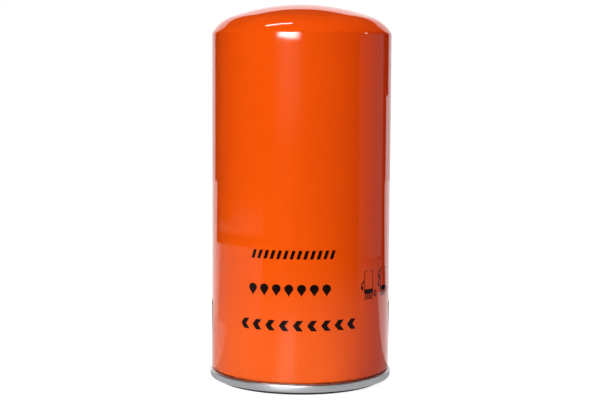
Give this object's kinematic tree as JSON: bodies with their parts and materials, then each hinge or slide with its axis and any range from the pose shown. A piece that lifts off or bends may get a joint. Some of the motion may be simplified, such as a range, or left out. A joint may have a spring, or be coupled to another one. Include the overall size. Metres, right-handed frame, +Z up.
{
  "type": "spin-on oil filter",
  "caption": "Tall spin-on engine oil filter: a glossy painted can with a domed top, rolled seam, gasket and threaded base plate, with the pleated element and valves inside.",
  "frame": {"origin": "centre of the gasket's sealing face, on the surface that the filter stands on", "axes": "+Z up the can's axis to the dome; +X towards the element's seam clip"},
  "size_m": [0.11, 0.11, 0.2265],
  "materials": {
    "can_paint": "gloss",
    "seam_steel": "satin tinplate",
    "plate_steel": "bright zinc plate",
    "gasket_rubber": "smooth black",
    "drainback_rubber": "matt dark red",
    "grommet_rubber": "matt black",
    "cap_steel": "satin tinplate",
    "potting": "cured compound",
    "media_paper": "resin-treated paper",
    "bead_glue": "hot-melt glue",
    "tube_steel": "plain steel sheet",
    "valve_steel": "yellow-passivated steel",
    "seal_rubber": "matt black",
    "spring_steel": "oiled spring wire"
  },
  "bodies": {
    "can": {"canister": "can_paint", "seam_lid": "seam_steel", "thread_plate": "plate_steel", "mounting_gasket": "gasket_rubber", "drainback_collar": "drainback_rubber", "element_spring": "spring_steel"},
    "element": {"element_grommet": "grommet_rubber", "lower_end_cap": "cap_steel", "upper_end_cap": "cap_steel", "lower_potting": "potting", "upper_potting": "potting", "pleated_media": "media_paper", "media_seam_clip": "cap_steel", "pleat_beads": "bead_glue", "centre_tube": "tube_steel", "bypass_cage": "valve_steel", "bypass_rivets": "valve_steel", "spring_seat": "cap_steel", "bypass_spring": "spring_steel"},
    "bypass_valve": {"bypass_disc": "valve_steel", "bypass_seal": "seal_rubber", "bypass_stem": "valve_steel"},
    "drainback_flap": {"drainback_flap": "drainback_rubber"}
  },
  "joints": [
    {"name": "element_float", "type": "slide", "parent": "can", "child": "element", "axis": [0, 0, 1], "range_m": [0, 0.003], "stiffness_N_per_m": 5000, "springref_m": -0.012, "deforming": ["element_spring"]},
    {"name": "bypass_open", "type": "slide", "parent": "element", "child": "bypass_valve", "axis": [0, 0, -1], "range_m": [0, 0.005], "stiffness_N_per_m": 4000, "springref_m": -0.014, "deforming": ["bypass_spring"]},
    {"name": "drainback_lift", "type": "slide", "parent": "can", "child": "drainback_flap", "axis": [0, 0, 1], "range_m": [0, 0.002], "stiffness_N_per_m": 300, "springref_m": -0.002}
  ]
}
